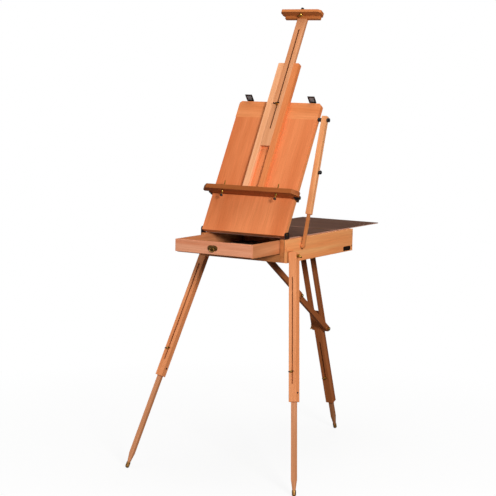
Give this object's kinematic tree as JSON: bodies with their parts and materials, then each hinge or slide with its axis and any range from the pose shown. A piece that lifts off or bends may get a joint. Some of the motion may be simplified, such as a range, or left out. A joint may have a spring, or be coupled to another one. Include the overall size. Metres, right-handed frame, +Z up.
{
  "type": "sketch box easel",
  "caption": "Wooden sketch-box easel: folding telescopic legs, drawer box with folding palette, and a tilting lid with a sliding mast, canvas tray and canvas head.",
  "frame": {"origin": "on the floor, below the middle of the easel as it stands, with X=0 in the middle of the box", "axes": "+Z up, +X to the right of a painter who faces the easel, +Y to the rear"},
  "size_m": [0.7504, 1.09, 1.8301],
  "materials": {
    "oiled_beech": "oiled, satin",
    "black_steel": "black lacquer",
    "brass": "polished",
    "palette_ply": "varnished, gloss",
    "zinc_sheet": "dull"
  },
  "bodies": {
    "box": {"side_boards": "oiled_beech", "inner_boards": "oiled_beech", "rear_board": "oiled_beech", "front_rail": "oiled_beech", "box_deck": "oiled_beech", "lid_plates": "black_steel", "lid_pivot_screws": "brass", "leg_wedges": "oiled_beech", "underside_cleats": "oiled_beech", "pivot_bolts": "brass", "badge_plate": "brass", "lid_catches": "black_steel"},
    "drawer": {"drawer_front": "oiled_beech", "drawer_box": "oiled_beech", "drawer_liner": "zinc_sheet", "drawer_dividers": "oiled_beech", "drawer_lock": "brass"},
    "drawer_bail": {"drawer_ring": "brass"},
    "palette": {"palette_front": "palette_ply", "palette_hinges": "brass"},
    "palette_leaf": {"palette_rear": "palette_ply"},
    "lid": {"lid_panel": "oiled_beech", "lid_frame": "oiled_beech", "lid_top_batten": "oiled_beech", "strut_bolt": "black_steel", "latch_bases": "black_steel"},
    "latch_left": {"latch_left": "black_steel"},
    "latch_right": {"latch_right": "black_steel"},
    "mast": {"mast_floor": "oiled_beech", "mast_rails": "oiled_beech", "tray": "oiled_beech", "tray_clamps": "black_steel", "tray_screws": "brass"},
    "mast_clamp": {"mast_clamp": "brass"},
    "inner_mast": {"inner_mast": "oiled_beech", "canvas_head": "oiled_beech"},
    "canvas_screw": {"canvas_screw": "brass"},
    "rear_fork": {"rear_fork": "oiled_beech", "knee_bolt": "brass"},
    "rear_leg": {"rear_leg": "oiled_beech"},
    "rear_lower": {"rear_lower": "oiled_beech", "rear_tip": "brass"},
    "rear_clamp": {"rear_clamp": "brass"},
    "brace_front": {"brace_front": "oiled_beech"},
    "brace_rear": {"brace_rear": "oiled_beech", "brace_bolts": "brass"},
    "strut_bar": {"strut_bar": "oiled_beech"},
    "strut_rod": {"strut_rod": "oiled_beech"},
    "strut_knob": {"strut_knob": "black_steel"},
    "leg_upper_right": {"leg_upper_right": "oiled_beech"},
    "leg_lower_right": {"leg_lower_right": "oiled_beech", "leg_tip_right": "brass"},
    "leg_clamp_right": {"leg_clamp_right": "brass"},
    "leg_upper_left": {"leg_upper_left": "oiled_beech"},
    "leg_lower_left": {"leg_lower_left": "oiled_beech", "leg_tip_left": "brass"},
    "leg_clamp_left": {"leg_clamp_left": "brass"}
  },
  "joints": [
    {"name": "drawer_slide", "type": "slide", "parent": "box", "child": "drawer", "axis": [0, -1, 0], "range_m": [-0.214, 0.15]},
    {"name": "drawer_bail_lift", "type": "hinge", "parent": "drawer", "child": "drawer_bail", "pos_m": [0, -0.52801, 0.90175], "axis": [-1, 0, 0], "range_deg": [0, 90]},
    {"name": "palette_slide", "type": "slide", "parent": "box", "child": "palette", "axis": [0, 1, 0], "range_m": [0, 0.1]},
    {"name": "palette_fold", "type": "hinge", "parent": "palette", "child": "palette_leaf", "pos_m": [0, 0.12499, 0.9319], "axis": [1, 0, 0], "range_deg": [0, 110]},
    {"name": "lid_tilt", "type": "hinge", "parent": "box", "child": "lid", "pos_m": [0, -0.29301, 0.948], "axis": [1, 0, 0], "range_deg": [-61.3, 10]},
    {"name": "latch_left_turn", "type": "hinge", "parent": "lid", "child": "latch_left", "pos_m": [-0.143, -0.02025, 1.44622], "axis": [-1, 0, 0], "range_deg": [-21, 154]},
    {"name": "latch_right_turn", "type": "hinge", "parent": "lid", "child": "latch_right", "pos_m": [0.143, -0.02025, 1.44622], "axis": [-1, 0, 0], "range_deg": [-21, 154]},
    {"name": "mast_slide", "type": "slide", "parent": "lid", "child": "mast", "axis": [0, 0.4802, 0.8771], "range_m": [-0.1, 0.2]},
    {"name": "mast_clamp_turn", "type": "hinge", "parent": "mast", "child": "mast_clamp", "pos_m": [0, -0.05761, 1.44045], "axis": [0, -0.8771, 0.4802], "continuous": true},
    {"name": "inner_mast_slide", "type": "slide", "parent": "mast", "child": "inner_mast", "axis": [0, 0.4802, 0.8771], "range_m": [-0.19, 0.1]},
    {"name": "canvas_screw_turn", "type": "hinge", "parent": "inner_mast", "child": "canvas_screw", "pos_m": [0, 0.11639, 1.79324], "axis": [0, 0.4802, 0.8771], "continuous": true},
    {"name": "strut_turn", "type": "hinge", "parent": "lid", "child": "strut_bar", "pos_m": [0.215, -0.05482, 1.38306], "axis": [1, 0, 0], "range_deg": [-6, 1.5]},
    {"name": "strut_slide", "type": "slide", "parent": "strut_bar", "child": "strut_rod", "axis": [0, 0.2915, 0.9566], "range_m": [-0.018, 0.0985]},
    {"name": "strut_knob_turn", "type": "hinge", "parent": "strut_rod", "child": "strut_knob", "pos_m": [0.2263, -0.11632, 1.18123], "axis": [1, 0, 0], "continuous": true},
    {"name": "leg_right_fold", "type": "hinge", "parent": "box", "child": "leg_upper_right", "pos_m": [0.22229, -0.28801, 0.8665], "axis": [0.986, 0, 0.1665], "range_deg": [0, 102]},
    {"name": "leg_right_slide", "type": "slide", "parent": "leg_upper_right", "child": "leg_lower_right", "axis": [-0.1615, 0.2425, 0.9566], "range_m": [-0.04, 0.35]},
    {"name": "leg_right_clamp_turn", "type": "hinge", "parent": "leg_lower_right", "child": "leg_clamp_right", "pos_m": [0.2929, -0.40951, 0.44822], "axis": [-0.0404, -0.9701, 0.2391], "continuous": true},
    {"name": "leg_left_fold", "type": "hinge", "parent": "box", "child": "leg_upper_left", "pos_m": [-0.22229, -0.20301, 0.8665], "axis": [0.986, 0, -0.1665], "range_deg": [0, 109]},
    {"name": "leg_left_slide", "type": "slide", "parent": "leg_upper_left", "child": "leg_lower_left", "axis": [0.1554, 0.3581, 0.9206], "range_m": [-0.04, 0.35]},
    {"name": "leg_left_clamp_turn", "type": "hinge", "parent": "leg_lower_left", "child": "leg_clamp_left", "pos_m": [-0.28993, -0.37496, 0.46579], "axis": [0.0596, -0.9337, 0.3531], "continuous": true},
    {"name": "rear_fork_fold", "type": "hinge", "parent": "box", "child": "rear_fork", "pos_m": [0, 0.21599, 0.852], "axis": [-1, 0, 0], "range_deg": [0, 107]},
    {"name": "rear_knee", "type": "hinge", "parent": "rear_fork", "child": "rear_leg", "pos_m": [0, 0.35818, 0.47813], "axis": [-1, 0, 0], "range_deg": [-125, 0]},
    {"name": "rear_leg_slide", "type": "slide", "parent": "rear_leg", "child": "rear_lower", "axis": [0, -0.3555, 0.9347], "range_m": [-0.005, 0.17]},
    {"name": "rear_clamp_turn", "type": "hinge", "parent": "rear_lower", "child": "rear_clamp", "pos_m": [0, 0.42983, 0.24754], "axis": [0, -0.9347, -0.3555], "continuous": true},
    {"name": "brace_fold", "type": "hinge", "parent": "box", "child": "brace_front", "pos_m": [0.0447, -0.21901, 0.854], "axis": [-1, 0, 0], "range_deg": [-33, 0]},
    {"name": "brace_joint", "type": "hinge", "parent": "brace_front", "child": "brace_rear", "pos_m": [0.0324, 0.08427, 0.6565], "axis": [-1, 0, 0], "range_deg": [0, 178]}
  ],
  "couplings": [
    {"joint": "strut_turn", "follows": "lid_tilt", "ratio": 0.08148},
    {"joint": "strut_slide", "follows": "lid_tilt", "m_per_rad": -0.090811},
    {"joint": "brace_fold", "follows": "rear_fork_fold", "ratio": -0.3019},
    {"joint": "brace_joint", "follows": "rear_fork_fold", "ratio": 1.636}
  ]
}
